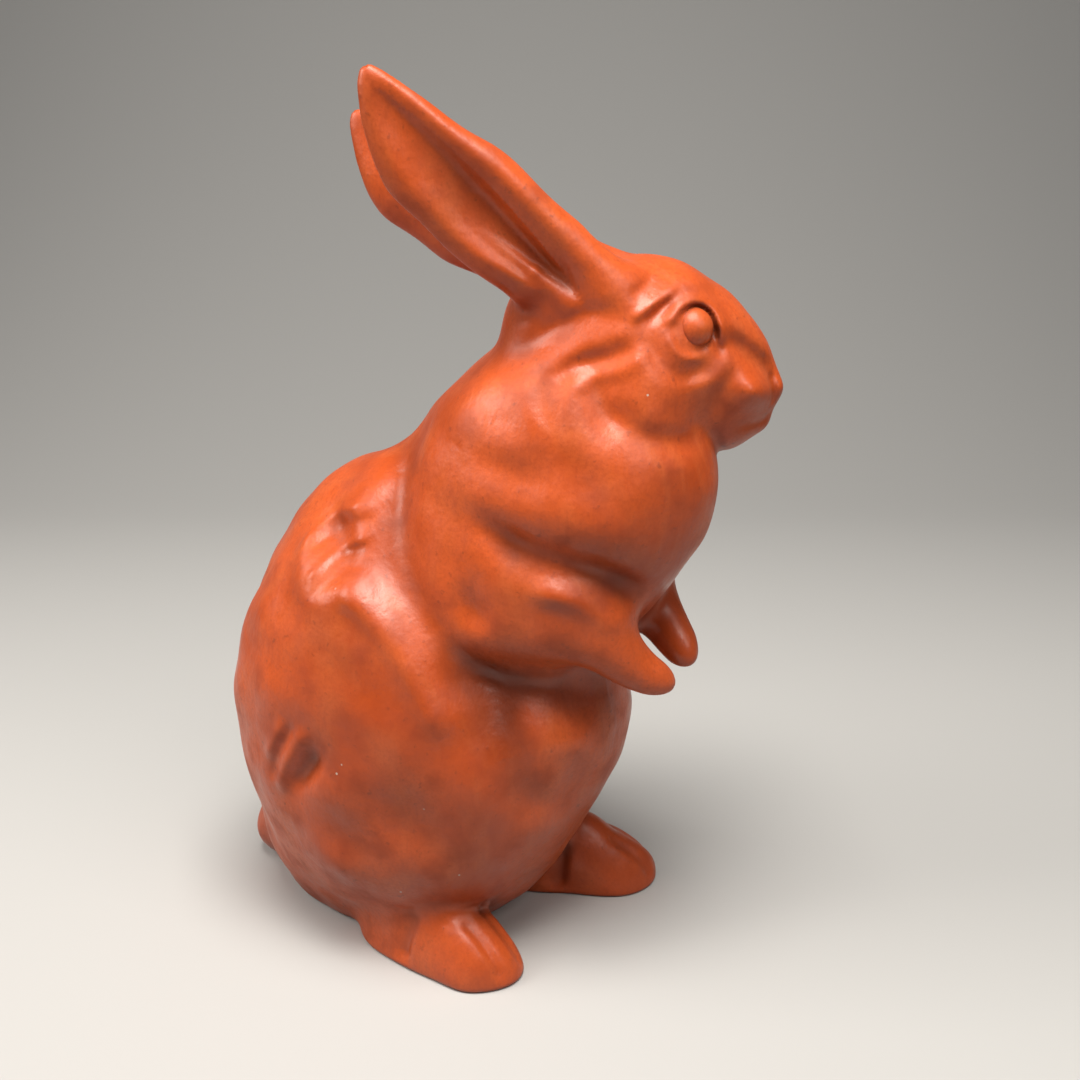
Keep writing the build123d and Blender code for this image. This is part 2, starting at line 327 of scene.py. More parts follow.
# Fine ridge at the root: places and radii
EAR_RIDGE = [(0.4, 33.0, -3.6, 0.3), (3.0, 12.0, -0.2, 1.0), (4.6, -2.0, 1.4, 1.4)]
EAR_RIDGE_BEND = 3.0
EAR_RIDGE_BLEND = 2.5
# Ball round an ear, and how near to it the ear is worked out
EAR_BALL_PLACE = (0.0, 42.0, 2.0)
EAR_BALL_RADIUS = 56.0
EAR_BALL_MARGIN = 20.0


def ear_frame(p, side):
    """Points in the frame of an ear."""
    root = HEAD_ORIGIN + HEAD_TURN.T @ on_side(EAR_ROOT, side)
    across, level, upright = turned(HEAD_YAW, 0.0)
    tilt, splay = np.radians(EAR_TILT[side]), np.radians(EAR_SPLAY)
    back_up = upright * np.sin(tilt) - level * np.cos(tilt)
    along = back_up * np.cos(splay) + across * side * np.sin(splay)
    outward = across * side * np.cos(splay) - back_up * np.sin(splay)
    front = upright * np.cos(tilt) + level * np.sin(tilt)
    return np.stack([outward, along, front]) @ (p - root[:, None])


def ear_blade(q):
    """A thin blade with a rolled front lip, dished out behind the lip, and a fine ridge at the root."""
    outward, along, front = q
    blade = EAR.distance(along, outward, front)
    lean = EAR_LIP_LEAN_SHARE * (EAR_LIP_UPRIGHT - along)
    lip = EAR_LIP.distance(along - EAR_LIP_START, outward - lean, front)
    blade = smooth_union(blade, lip, EAR_LIP_BLEND)
    behind = EAR_VALLEY - front
    across_dish = np.maximum(behind, -EAR_DISH_STEEPNESS * behind)
    dish = EAR_DISH.distance(along - EAR_DISH_START, outward - EAR_DISH_OUT, across_dish)
    blade = smooth_cut(blade, dish, EAR_DISH_BLEND)
    return smooth_union(blade, limb(q, EAR_RIDGE, EAR_RIDGE_BEND), EAR_RIDGE_BLEND)


def ear_field(p, side):
    """An ear, worked out near itself alone; farther off, the distance to a ball round it."""
    q = ear_frame(p, side)
    gap = np.sqrt(((q - np.array(EAR_BALL_PLACE)[:, None]) ** 2).sum(0)) - EAR_BALL_RADIUS
    near = gap < EAR_BALL_MARGIN
    if near.any():
        gap[near] = ear_blade(q[:, near])
    return gap


# Forelegs, in a frame of their own: outward, along to the paw, up
FORELEG_ROOT = (22.0, 46.0, 147.0)
FORELEG_TURN_IN = 9.0
FORELEG_DROP = 28.0
FORELEG = Loft(81.0, [
    (0.0, 0.0, 0.0, 0.0), (0.1, 3.0, 11.0, 11.0), (0.25, 8.5, 17.0, 15.0), (0.45, 10.0, 16.5, 14.0),
    (0.65, 8.6, 11.5, 10.6), (0.8, 5.0, 8.4, 8.2), (0.9, 2.5, 6.8, 7.0), (0.96, 1.0, 4.8, 5.2),
    (1.0, 0.5, 0.0, 0.0)], start_round=0.2, end_round=0.1, spread=0.045)
# Arch of the wrist
WRIST_ARCH = 7.0
WRIST_PLACE = 46.0
WRIST_SPREAD = 17.0


def foreleg_field(p, side):
    """A foreleg that hangs forward, arched at the wrist."""
    across, ahead, upward = turned(-side * FORELEG_TURN_IN, FORELEG_DROP)
    q = np.stack([side * across, ahead, upward]) @ (p - on_side(FORELEG_ROOT, side)[:, None])
    outward, along, up = q
    return FORELEG.distance(along, up - WRIST_ARCH * hump(along - WRIST_PLACE, WRIST_SPREAD), outward)


# Hind feet, in a frame of their own: across, along from the heel, up
FOOT_TOE = {-1: (-42.0, 73.5, 0.0), 1: (38.8, 95.9, 0.0)}
FOOT_SPLAY = {-1: 7.0, 1: 22.0}
FOOT = Loft(68.0, [
    (0.0, 0.0, 0.0, 0.0), (0.1, 0.0, 10.0, 24.0), (0.3, 0.0, 13.5, 35.5), (0.55, 0.0, 14.8, 30.0),
    (0.75, 0.0, 15.2, 22.5), (0.9, 0.0, 12.6, 15.0), (1.0, 0.0, 0.0, 0.0)],
    start_round=0.25, end_round=0.24)


def foot_frame(p, side):
    """Points in the frame of a hind foot."""
    rows = turned(side * FOOT_SPLAY[side], 0.0)
    heel = np.array(FOOT_TOE[side]) - rows[1] * FOOT.length
    return rows @ (p - heel[:, None])


def foot_field(p, side):
    """A long foot, whose lower half is below the floor and is cut off there."""
    across, along, up = foot_frame(p, side)
    return FOOT.distance(along, across, up)


# Tail
TAIL_PLACE = (-4.0, -50.5, 12.5)
TAIL_RADII = (14.0, 12.5, 13.0)


def tail_field(p):
    """A round tuft."""
    return ellipsoid(p, TAIL_PLACE, TAIL_RADII)


# Strokes on both sides of the head, in profile: height, width, points along and up
HEAD_STROKES = Strokes([
    # Upper lid, lower lid and the pouch under it
    (1.6, 2.2, [(42.5, 17.0), (44.5, 21.5), (49.0, 24.6), (55.0, 23.8), (59.2, 19.0), (60.6, 14.5)]),
    (0.9, 1.8, [(43.5, 12.5), (46.5, 9.2), (50.5, 7.8), (55.0, 8.6)]),
    (-1.3, 3.0, [(39.0, 8.0), (44.5, 3.4), (51.5, 2.0), (58.0, 5.4)]),
    # Brow, the wrinkle behind it and the furrows beside the wrinkle
    (1.2, 3.8, [(43.0, 27.0), (47.0, 29.0), (53.0, 29.5)]),
    (1.1, 1.9, [(41.5, 26.0), (37.0, 21.0), (32.0, 15.0)]),
    (-1.3, 2.1, [(41.5, 21.5), (39.0, 18.5), (36.5, 15.0)]),
    (-0.9, 2.2, [(34.0, 26.0), (30.0, 21.0)]),
    # Front corner of the eye, and the hollow beside the bridge of the nose
    (-2.4, 2.0, [(57.5, 17.0), (59.5, 13.5), (61.5, 11.0)]),
    (-3.0, 3.8, [(63.0, 15.5), (69.0, 13.5), (75.0, 11.0), (81.0, 8.0)]),
    # Nostril, and the tip of the nose before it
    (-1.6, 1.4, [(81.5, 7.5), (84.0, 3.5), (85.0, -1.0)]),
    (1.4, 2.8, [(87.0, 7.0), (88.5, 3.0)]),
    # Muzzle pad, the crease behind it and its upper edge
    (3.8, 6.0, [(73.0, 1.5), (78.5, 0.5)]),
    (-1.2, 2.8, [(67.0, 6.5), (64.5, 0.0), (66.0, -7.0)]),
    (1.4, 4.0, [(72.5, 5.0), (77.5, 4.0)]),
    # Mouth, and the lip under it
    (-0.9, 1.8, [(87.0, -2.5), (84.0, -6.5), (76.0, -9.5)]),
    (0.8, 4.0, [(85.5, -8.5), (78.0, -12.0)]),
    # Cheek, and the fold between the jaw and the chest
    (3.4, 12.0, [(39.0, 0.0), (49.0, -5.0)]),
    (1.2, 4.0, [(57.0, 1.0), (66.0, 5.0)]),
    (-2.4, 5.0, [(33.0, -14.0), (45.0, -18.0), (60.0, -16.5)]),
    # Folds of the neck behind the cheek
    (-2.0, 5.0, [(26.0, -4.0), (28.5, -12.0), (33.0, -18.0)]),
    (-1.4, 4.5, [(11.0, -13.0), (14.0, -19.0), (19.0, -23.0)]),
    (0.5, 5.5, [(19.0, -12.0), (22.0, -18.0)]),
    (-1.2, 3.6, [(3.0, -6.0), (9.0, 3.0), (16.0, 10.0), (24.0, 14.0)]),
    (1.0, 3.2, [(9.0, -8.0), (15.0, -1.0), (23.0, 5.0), (31.0, 10.0)]),
    (-0.8, 2.8, [(15.0, -9.0), (20.0, -3.0), (27.0, 0.5), (33.0, 5.0)]),
    (0.9, 3.0, [(20.0, -10.0), (26.0, -4.5), (33.0, 0.0), (38.0, 6.0)]),
])

# Strokes on both sides of the body, from the side: height, width, points forward and up
BODY_STROKES = Strokes([
    # Valley between the shoulder and the haunch, down to the crease of the groin
    (-4.0, 9.0, [(21.0, 190.0), (25.0, 168.0), (30.0, 150.0), (44.0, 130.0), (58.0, 112.0), (66.0, 94.0)]),
    (-2.5, 7.5, [(64.0, 104.0), (72.0, 88.0), (76.0, 66.0)]),
    # Ridge along the front of the haunch, the swellings of the back and the hollow between them
    (4.0, 6.0, [(16.0, 143.0), (30.0, 135.0), (43.0, 121.0), (55.0, 102.0)]),
    (2.2, 8.0, [(18.0, 170.0), (10.0, 162.0)]),
    (2.8, 7.0, [(-6.0, 152.0), (0.0, 141.0), (12.0, 137.0)]),
    (-3.2, 6.0, [(0.0, 160.0), (8.0, 152.0), (14.0, 147.0)]),
    # Fine locks of fur across that hollow
    (-0.6, 2.2, [(17.0, 161.0), (6.0, 157.0), (-3.0, 149.0)]),
    (0.8, 1.9, [(18.0, 156.0), (8.0, 151.0), (2.0, 143.0)]),
    (0.8, 2.0, [(12.0, 165.0), (2.0, 161.0), (-7.0, 152.0)]),
    (-0.6, 2.1, [(22.0, 148.0), (12.0, 145.0), (5.0, 138.0)]),
    # Dimples of the shoulder and the elbow
    (-3.2, 6.0, [(62.0, 166.0), (72.0, 161.0)]),
    (-2.0, 5.5, [(56.0, 141.0), (62.0, 135.0)]),
    # Fold where the chest hangs over the arm, the top of the arm and the hollow under it
    (2.4, 9.0, [(78.0, 174.0), (98.0, 170.0), (110.0, 162.0)]),
    (-4.4, 6.8, [(70.0, 158.0), (84.0, 157.0), (98.0, 151.0), (107.0, 141.0)]),
    (2.8, 4.6, [(82.0, 147.0), (93.0, 145.0), (103.0, 136.0)]),
    (-5.5, 9.0, [(56.0, 115.0), (68.0, 112.0), (82.0, 108.0), (94.0, 99.0)]),
    # Swellings of the neck over the shoulder, and the furrow under them
    (1.8, 8.0, [(46.0, 197.0), (58.0, 202.0)]),
    (1.6, 7.0, [(76.0, 198.0), (88.0, 196.0), (99.0, 189.0)]),
    (-1.6, 6.0, [(60.0, 186.0), (80.0, 181.0)]),
    # Crease of the belly, and the hollow of the thigh
    (-2.0, 5.0, [(87.0, 84.0), (87.0, 60.0)]),
    (-3.4, 12.0, [(38.0, 72.0), (52.0, 58.0)]),
    # Hollow before the tail, deeper in its middle, and the locks of fur behind it
    (-1.8, 7.5, [(12.0, 88.0), (4.0, 77.0), (-5.0, 66.0)]),
    (-2.4, 3.8, [(8.0, 83.0), (4.0, 77.0), (-1.0, 71.0)]),
    (1.8, 3.4, [(4.0, 91.0), (-3.0, 79.0), (-8.0, 68.0)]),
    (-1.0, 2.2, [(-1.0, 92.0), (-8.0, 80.0), (-12.0, 70.0)]),
    (0.9, 2.4, [(-5.0, 93.0), (-13.0, 79.0)]),
    # Swelling over the heel
    (2.6, 10.0, [(4.0, 46.0), (20.0, 40.0)]),
])

# Strokes on a hind foot, from above: height, width, points across and along
FOOT_STROKES = Strokes([
    # Grooves between the toes, and the flattened crown behind them
    (-1.1, 2.2, [(-5.0, 50.0), (-5.5, 66.0)]),
    (-1.1, 2.2, [(4.5, 48.0), (5.0, 66.0)]),
    (-1.5, 6.0, [(0.0, 36.0), (0.0, 58.0)]),
    # Dents on both sides of the instep
    (-2.0, 3.0, [(-15.0, 27.0), (-10.0, 32.0)]),
    (-1.2, 3.4, [(9.0, 30.0), (10.0, 46.0)]),
])

# Where the strokes fade in: distance from the middle line, height over the floor, height on a foot
HEAD_STROKES_FROM = (1.0, 7.0)
BODY_STROKES_FROM = (8.0, 22.0)
NECK_HEIGHTS = (170.0, 186.0)
FOOT_TOP = 40.0
FOOT_SOLE_HEIGHTS = (2.0, 6.0)
FOOT_CROWN_HEIGHTS = (26.0, 20.0)

# Furrow round each eyeball, which is deeper at the front and under the upper lid
SOCKET_RADIUS = 6.3
SOCKET_SPREAD = 1.3
SOCKET_DEPTH = 0.2
SOCKET_LID_DEPTH = 1.2
SOCKET_LID_SLANT_SHARE = 0.7
SOCKET_LID_FROM = (-3.0, 7.0)
SOCKET_FROM = (8.0, 12.0)

# Dabs of clay on the nose and the chin
NOSE_PLACE = (0.0, 88.0, 4.0)
NOSE_HEIGHT = 2.4
NOSE_SPREAD = 7.0
CHIN_PLACE = (0.0, 86.0, -9.0)
CHIN_HEIGHT = 2.2
CHIN_SPREAD = 5.0
CHIN_BREADTH_SHARE = 0.7

# Waves of the hand-modelled surface: lengths, heights to their lengths, directions and phases
LUMP_WAVES = 9
LUMP_SHORTEST = 16.0
LUMP_LENGTHENING = 2.6
LUMP_HEIGHT_SHARE = 0.00605
LUMP_TURNS = np.array([2.1, 1.7, 1.3])
LUMP_STARTS = np.array([0.4, 1.1, 2.3])
LUMP_PHASE = 1.9


def hand_lumps(p):
    """Slight unevenness of a hand-modelled surface: waves in directions that don't line up."""
    total = np.zeros(p.shape[1])
    for k in range(LUMP_WAVES):
        first, second, third = LUMP_TURNS * k + LUMP_STARTS
        way = np.array([np.sin(first), np.cos(second), np.sin(third)])
        way /= np.sqrt(way @ way)
        length = LUMP_SHORTEST + LUMP_LENGTHENING * k
        total += LUMP_HEIGHT_SHARE * length * np.sin(way @ p * 2 * np.pi / length + LUMP_PHASE * k)
    return total


def socket_marks(across, along, up):
    """Height of the furrows round the eyeballs."""
    ahead, above = along - EYE_PLACE[1], up - EYE_PLACE[2]
    ring = np.sqrt(ahead ** 2 + above ** 2)
    lid = ramp(SOCKET_LID_SLANT_SHARE * (ahead + above), *SOCKET_LID_FROM)
    depth = SOCKET_DEPTH + SOCKET_LID_DEPTH * lid
    return -depth * hump(ring - SOCKET_RADIUS, SOCKET_SPREAD) * ramp(np.abs(across), *SOCKET_FROM)


def dab(q, place, height, spread, breadth_share=1.0):
    """Height of a round dab of clay; a breadth share under one draws it out to both sides."""
    across, along, up = q - np.array(place)[:, None]
    return height * hump(np.sqrt((breadth_share * across) ** 2 + along ** 2 + up ** 2), spread)


def head_marks(p):
    """Height of what is drawn on both sides of the head and the neck."""
    q = head_frame(p)
    across, along, up = q
    height = HEAD_STROKES.height(along, up) * ramp(np.abs(across), *HEAD_STROKES_FROM)
    height += socket_marks(across, along, up)
    height += dab(q, NOSE_PLACE, NOSE_HEIGHT, NOSE_SPREAD)
    return height + dab(q, CHIN_PLACE, CHIN_HEIGHT, CHIN_SPREAD, CHIN_BREADTH_SHARE)


def marks(p):
    """Height of everything that is pressed or drawn into the clay after the forms are joined."""
    height = hand_lumps(p)
    x, f, z = p
    height += BODY_STROKES.height(f, z) * ramp(np.abs(x), *BODY_STROKES_FROM)
    high = z > NECK_HEIGHTS[0]
    if high.any():
        height[high] += head_marks(p[:, high]) * ramp(z[high], *NECK_HEIGHTS)
    low = z < FOOT_TOP
    if low.any():
        for side in SIDES:
            across, along, up = foot_frame(p[:, low], side)
            top = ramp(up, *FOOT_SOLE_HEIGHTS) * ramp(up, *FOOT_CROWN_HEIGHTS)
            height[low] += FOOT_STROKES.height(across, along) * top
    return height


# Joining of the forms: how widely each is blended in, the throat less than the nape
NAPE_TO_TORSO_BLEND = 9.0
THROAT_TO_TORSO_BLEND = 3.0
THROAT_FROM = (38.0, 62.0)
EAR_BLEND = 10.0
FORELEG_BLEND = 8.0
FOOT_BLEND = 6.0
TAIL_BLEND = 9.0
# Distance from the surface up to which marks are worked out
MARKS_REACH = 14.0

# Edge of the sole, and the hollow that the foot slab fits with a little clearance
SOLE_BLEND = 2.0
RECESS_RADII = (31.3, 44.9)
RECESS_HEIGHT = 6.6
RECESS_BLEND = 0.6


def clay_field(p):
    """The whole figure without its eyeballs, before it is stood on the floor."""
    total = torso_field(p)
    throat = ramp(head_frame(p)[1], *THROAT_FROM)
    neck_blend = NAPE_TO_TORSO_BLEND + (THROAT_TO_TORSO_BLEND - NAPE_TO_TORSO_BLEND) * throat
    total = smooth_union(total, head_field(p), neck_blend)
    for side in SIDES:
        total = smooth_union(total, ear_field(p, side), EAR_BLEND)
        total = smooth_union(total, foreleg_field(p, side), FORELEG_BLEND)
        total = smooth_union(total, foot_field(p, side), FOOT_BLEND)
    total = smooth_union(total, tail_field(p), TAIL_BLEND)
    near = np.abs(total) < MARKS_REACH
    total[near] -= marks(p[:, near])
    return total


def slab_recess(p):
    """The hollow under the figure that the foot slab closes."""
    x, f, z = p
    radius = np.sqrt((x / RECESS_RADII[0]) ** 2 + (f / RECESS_RADII[1]) ** 2)
    wall = (radius - 1.0) * RECESS_RADII[0]
    return np.maximum(wall, np.abs(z) - RECESS_HEIGHT)


def figure_field(p):
    """The clay body: stood on the floor and hollowed for the foot slab."""
    total = smooth_cut(clay_field(p), p[2], SOLE_BLEND)
    return smooth_cut(total, slab_recess(p), RECESS_BLEND)


def whole_field(p):
    """The clay body with its eyeballs."""
    return np.minimum(figure_field(p), np.minimum(eye_field(p, -1), eye_field(p, 1)))


# Meshing of the field: grid, box round the figure, and settling of the points on the surface
MESH_STEP = 1.0
MESH_LOW = (-72.0, -78.0, -4.0)
MESH_HIGH = (72.0, 142.0, 306.0)
COARSE_STEPS = 4
NEAR_STEPS = 7
CHUNK_SIZE = 300000
SLOPE_REACH = 0.25
SETTLING_ROUNDS = 2
SETTLING_LEAST_SLOPE = 0.2
CORNERS = [(i, j, k) for i in (0, 1) for j in (0, 1) for k in (0, 1)]


def in_chunks(function, p):
    """A function of many points, worked out for some of them at a time."""
    return np.concatenate([function(p[:, k:k + CHUNK_SIZE]) for k in range(0, p.shape[1], CHUNK_SIZE)])


def gradient(p):
    """Slope of the figure's field."""
    slope = np.empty_like(p)
    for k in range(3):
        offset = np.zeros((3, 1))
        offset[k] = SLOPE_REACH
        slope[k] = in_chunks(figure_field, p + offset) - in_chunks(figure_field, p - offset)
    return slope / (2 * SLOPE_REACH)


def sample():
    """The field on an even grid, worked out in full only near the surface."""
    axes = []
    for low, high in zip(MESH_LOW, MESH_HIGH):
        count = int(np.ceil((high - low) / MESH_STEP / COARSE_STEPS)) * COARSE_STEPS
        axes.append(low + MESH_STEP * np.arange(count))
    middles = [axis.reshape(-1, COARSE_STEPS).mean(1) for axis in axes]
    grid = np.stack([g.ravel() for g in np.meshgrid(*middles, indexing="ij")])
    field = in_chunks(figure_field, grid).reshape([len(m) for m in middles])
    for k in range(3):
        field = field.repeat(COARSE_STEPS, k)
    near = np.nonzero(np.abs(field) < NEAR_STEPS * MESH_STEP)
    field[near] = in_chunks(figure_field, np.stack([axes[k][near[k]] for k in range(3)]))
    return axes, field


def corner(array, shift):
    """The values of a grid at one corner of each of its cells."""
    return array[tuple(slice(s, s + n - 1) for s, n in zip(shift, array.shape))]


def crossing_places(field, cells):
    """For each cell, the mean place in it at which the surface crosses its edges."""
    values = {shift: corner(field, shift)[cells] for shift in CORNERS}
    total = np.zeros((3, len(cells[0])))
    crossings = np.zeros(len(cells[0]))
    for shift in CORNERS:
        for k in range(3):
            if shift[k]:
                continue
            other = tuple(shift[m] + (m == k) for m in range(3))
            a, b = values[shift], values[other]
            cross = (a < 0) != (b < 0)
            share = np.where(cross, a / np.where(cross, a - b, 1.0), 0.0)
            for m in range(3):
                total[m] += np.where(cross, shift[m] + share * (m == k), 0.0)
            crossings += cross
    return total / crossings


def crossing_quads(inside, number):
    """For each edge of the grid that the surface crosses, the four cells round it, facing outward."""
    quads = []
    for k in range(3):
        m, n = (k + 1) % 3, (k + 2) % 3
        begin = [slice(1, -1)] * 3
        begin[k] = slice(0, -1)
        finish = list(begin)
        finish[k] = slice(1, None)
        a, b = inside[tuple(begin)], inside[tuple(finish)]
        where = np.nonzero(a != b)
        index = [where[q] + (0 if q == k else 1) for q in range(3)]
        ring = []
        for step_m, step_n in ((-1, -1), (0, -1), (0, 0), (-1, 0)):
            cell = list(index)
            cell[m] = index[m] + step_m
            cell[n] = index[n] + step_n
            ring.append(number[tuple(cell)])
        ring = np.stack(ring, 1)
        quads.append(np.where(a[where][:, None], ring[:, ::-1], ring))
    return np.concatenate(quads)


def surface():
    """Quads on the field's zero level: one point in each cell that the surface passes through."""
    axes, field = sample()
    inside = field < 0
    count = sum(corner(inside, shift).astype(np.int8) for shift in CORNERS)
    cells = np.nonzero((count > 0) & (count < len(CORNERS)))
    number = np.full(count.shape, -1, dtype=np.int64)
    number[cells] = np.arange(len(cells[0]))
    points = np.stack([axes[k][cells[k]] for k in range(3)]) + MESH_STEP * crossing_places(field, cells)
    return points, crossing_quads(inside, number)


def settle(points):
    """Moves points onto the surface and gives its outward normals there."""
    for _ in range(SETTLING_ROUNDS):
        slope = gradient(points)
        steepness = np.maximum((slope ** 2).sum(0), SETTLING_LEAST_SLOPE)
        gap = np.clip(in_chunks(figure_field, points), -MESH_STEP, MESH_STEP)
        points = points - slope * gap / steepness
    slope = gradient(points)
    return points, slope / np.maximum(np.sqrt((slope ** 2).sum(0)), LEAST_LENGTH)


# Hollowness: share for each millimetre of a furrow's depth, and how far out clay is looked for
FURROW_SHARE = 0.11
FURROW_DEEPEST = 6.0
HOLLOW_REACHES_AND_SHARES = ((2.5, 0.4), (6.0, 0.35), (14.0, 0.25))


def hollowness(points, normals):
    """How closed in the surface is at each point: nothing on open forms, more in a crease or a furrow; it
    darkens the clay as painted shade, with patina in the deep furrows.
    """
    total = FURROW_SHARE * np.clip(-in_chunks(marks, points), 0.0, FURROW_DEEPEST)
    for reach, share in HOLLOW_REACHES_AND_SHARES:
        room = in_chunks(whole_field, points + normals * reach) / reach
        total += share * np.clip(1.0 - room, 0.0, 1.0)
    return total


# Materials
class Shading:
    """A new material, and the kinds of node that the materials here are made of."""

    def __init__(self, name):
        self.material = bpy.data.materials.new(name)
        self.material.use_nodes = True
        self.nodes = self.material.node_tree.nodes
        self.links = self.material.node_tree.links
        self.shader = self.nodes["Principled BSDF"]

    def noise(self, where, scale, detail, stretch=(1.0, 1.0, 1.0), tilt=0.0):
        """Cloudy noise, drawn out along an axis where its stretch is under one."""
        mapping = self.nodes.new("ShaderNodeMapping")
        mapping.inputs["Scale"].default_value = stretch
        mapping.inputs["Rotation"].default_value = (tilt, 0.0, 0.0)
        self.links.new(where, mapping.inputs["Vector"])
        texture = self.nodes.new("ShaderNodeTexNoise")
        texture.inputs["Scale"].default_value = scale
        texture.inputs["Detail"].default_value = detail
        self.links.new(mapping.outputs["Vector"], texture.inputs["Vector"])
        return texture.outputs["Fac"]

    def between(self, value, low, high, least=0.0, most=1.0):
        """A value spread from one range to another, and held at its ends."""
        spread = self.nodes.new("ShaderNodeMapRange")
        for name, number in (("From Min", low), ("From Max", high), ("To Min", least), ("To Max", most)):
            spread.inputs[name].default_value = number
        self.links.new(value, spread.inputs["Value"])
        return spread.outputs["Result"]

    def combined(self, operation, first, second):
        """Two values combined by the operation of that name."""
        node = self.nodes.new("ShaderNodeMath")
        node.operation = operation
        self.links.new(first, node.inputs[0])
        self.links.new(second, node.inputs[1])
        return node.outputs["Value"]

    def mixed(self, colour, other, share):
        """A colour, written out or worked out, with a share of another one over it."""
        mix = self.nodes.new("ShaderNodeMix")
        mix.data_type = "RGBA"
        self.links.new(share, mix.inputs["Factor"])
        if isinstance(colour, tuple):
            mix.inputs["A"].default_value = colour
        else:
            self.links.new(colour, mix.inputs["A"])
        mix.inputs["B"].default_value = other
        return mix.outputs["Result"]

    def bump(self, height, distance, before=None):
        """Small relief of a height in metres, over the relief before it."""
        node = self.nodes.new("ShaderNodeBump")
        node.inputs["Strength"].default_value = BUMP_STRENGTH
        node.inputs["Distance"].default_value = distance
        self.links.new(height, node.inputs["Height"])
        if before is not None:
            self.links.new(before, node.inputs["Normal"])
        return node.outputs["Normal"]


# Patterns in the clay: scale, detail, stretch and tilt
CLOUDS = (26.0, 3.0)
GRAIN = (420.0, 3.0)
DABS = (85.0, 4.0)
RUBBED_STREAKS = (150.0, 2.0, (1.0, 0.35, 0.2))
HAIRS = (480.0, 3.0, (1.0, 1.0, 0.32), 0.6)
MOTTLE = (900.0, 2.0)

# The clay's red, and the tones over it
CLAY_RED = (0.62, 0.099, 0.019, 1.0)
CLOUD_BROWN = (0.36, 0.048, 0.008, 1.0)
RUBBED_ORANGE = (0.66, 0.145, 0.040, 1.0)
DAB_BROWN = (0.30, 0.040, 0.009, 1.0)
HAIR_BROWN = (0.40, 0.055, 0.012, 1.0)
MOTTLE_BROWN = (0.42, 0.058, 0.012, 1.0)
# Painted shade for the creases and hollows, with patina in the deep furrows
CREASE_SHADE_AND_PATINA = (0.12, 0.020, 0.006, 1.0)
GRAIN_BROWN = (0.20, 0.032, 0.011, 1.0)
SPECK_BUFF = (0.62, 0.50, 0.42, 1.0)

# Specks: their scale, the rim of each and the patches that have any
SPECK_SCALE = 95.0
SPECK_RIM = (0.05, 0.03)
SPECK_PATCHES = (31.0, 1.0)
SPECK_PATCH_RIM = (0.58, 0.64)

# Roughness from where the dabs begin to where they are full, and the relief in metres
ROUGHNESS_FROM_DABS = (0.35, 0.68, 0.32, 0.54)
BUMP_STRENGTH = 0.35
GRAIN_RELIEF = 0.0003
DAB_RELIEF = 0.0016
HAIR_RELIEF = 0.0003
STREAK_RELIEF = 0.0010


def clay_specks(clay, where):
    """Where the few pale specks are."""
    specks = clay.nodes.new("ShaderNodeTexVoronoi")
    specks.inputs["Scale"].default_value = SPECK_SCALE
    clay.links.new(where, specks.inputs["Vector"])
    dots = clay.between(specks.outputs["Distance"], *SPECK_RIM)
    patches = clay.between(clay.noise(where, *SPECK_PATCHES), *SPECK_PATCH_RIM)
    return clay.combined("MULTIPLY", dots, patches)


def clay_material():
    """Burnished terracotta: cloudy red clay with paler rubbed streaks, darkened in the creases and hollows
    by painted shade, with patina in the deep furrows.
    """
    clay = Shading("terracotta")
    where = clay.nodes.new("ShaderNodeTexCoord").outputs["Object"]
    attribute = clay.nodes.new("ShaderNodeAttribute")
    attribute.attribute_name = "hollow"
    clouds, grain, dabs = [clay.noise(where, *pattern) for pattern in (CLOUDS, GRAIN, DABS)]
    streaks, hairs, mottle = [clay.noise(where, *pattern) for pattern in (RUBBED_STREAKS, HAIRS, MOTTLE)]
    # Each tone, where its pattern begins and is full, and how far it covers what is under it
    tones = [
        (CLOUD_BROWN, clouds, 0.42, 0.70, 0.75),
        (RUBBED_ORANGE, streaks, 0.50, 0.75, 0.45),
        (DAB_BROWN, dabs, 0.54, 0.72, 0.50),
        (HAIR_BROWN, hairs, 0.50, 0.75, 0.30),
        (MOTTLE_BROWN, mottle, 0.45, 0.70, 0.35),
        # Painted shade darkens the clay where it is closed in, with patina where the furrows go deep
        (CREASE_SHADE_AND_PATINA, attribute.outputs["Fac"], 0.20, 0.85, 0.80),
        (GRAIN_BROWN, grain, 0.64, 0.76, 0.45),
    ]
    colour = CLAY_RED
    for tone, pattern, begin, full, cover in tones:
        colour = clay.mixed(colour, tone, clay.between(pattern, begin, full, 0.0, cover))
    colour = clay.mixed(colour, SPECK_BUFF, clay_specks(clay, where))
    clay.links.new(colour, clay.shader.inputs["Base Color"])
    clay.links.new(clay.between(dabs, *ROUGHNESS_FROM_DABS), clay.shader.inputs["Roughness"])
    relief = clay.bump(grain, GRAIN_RELIEF)
    relief = clay.bump(dabs, DAB_RELIEF, relief)
    relief = clay.bump(hairs, HAIR_RELIEF, relief)
    clay.links.new(clay.bump(streaks, STREAK_RELIEF, relief), clay.shader.inputs["Normal"])
    return clay.material


# Paper that is pale to look at and throws little light back
PAPER_SEEN = (0.53, 0.53, 0.525, 1.0)
PAPER_BOUNCE = (0.20, 0.20, 0.20, 1.0)
PAPER_ROUGHNESS = 0.9


def paper_material():
    """Matt paper, pale where it is seen or mirrored, and darker where it lights the figure."""
    paper = Shading("paper")
    rays = paper.nodes.new("ShaderNodeLightPath")
    seen = rays.outputs["Is Camera Ray"]
    for name in ("Is Glossy Ray", "Is Transmission Ray"):
        seen = paper.combined("MAXIMUM", seen, rays.outputs[name])
    paper.links.new(paper.mixed(PAPER_BOUNCE, PAPER_SEEN, seen), paper.shader.inputs["Base Color"])
    paper.shader.inputs["Roughness"].default_value = PAPER_ROUGHNESS
    return paper.material


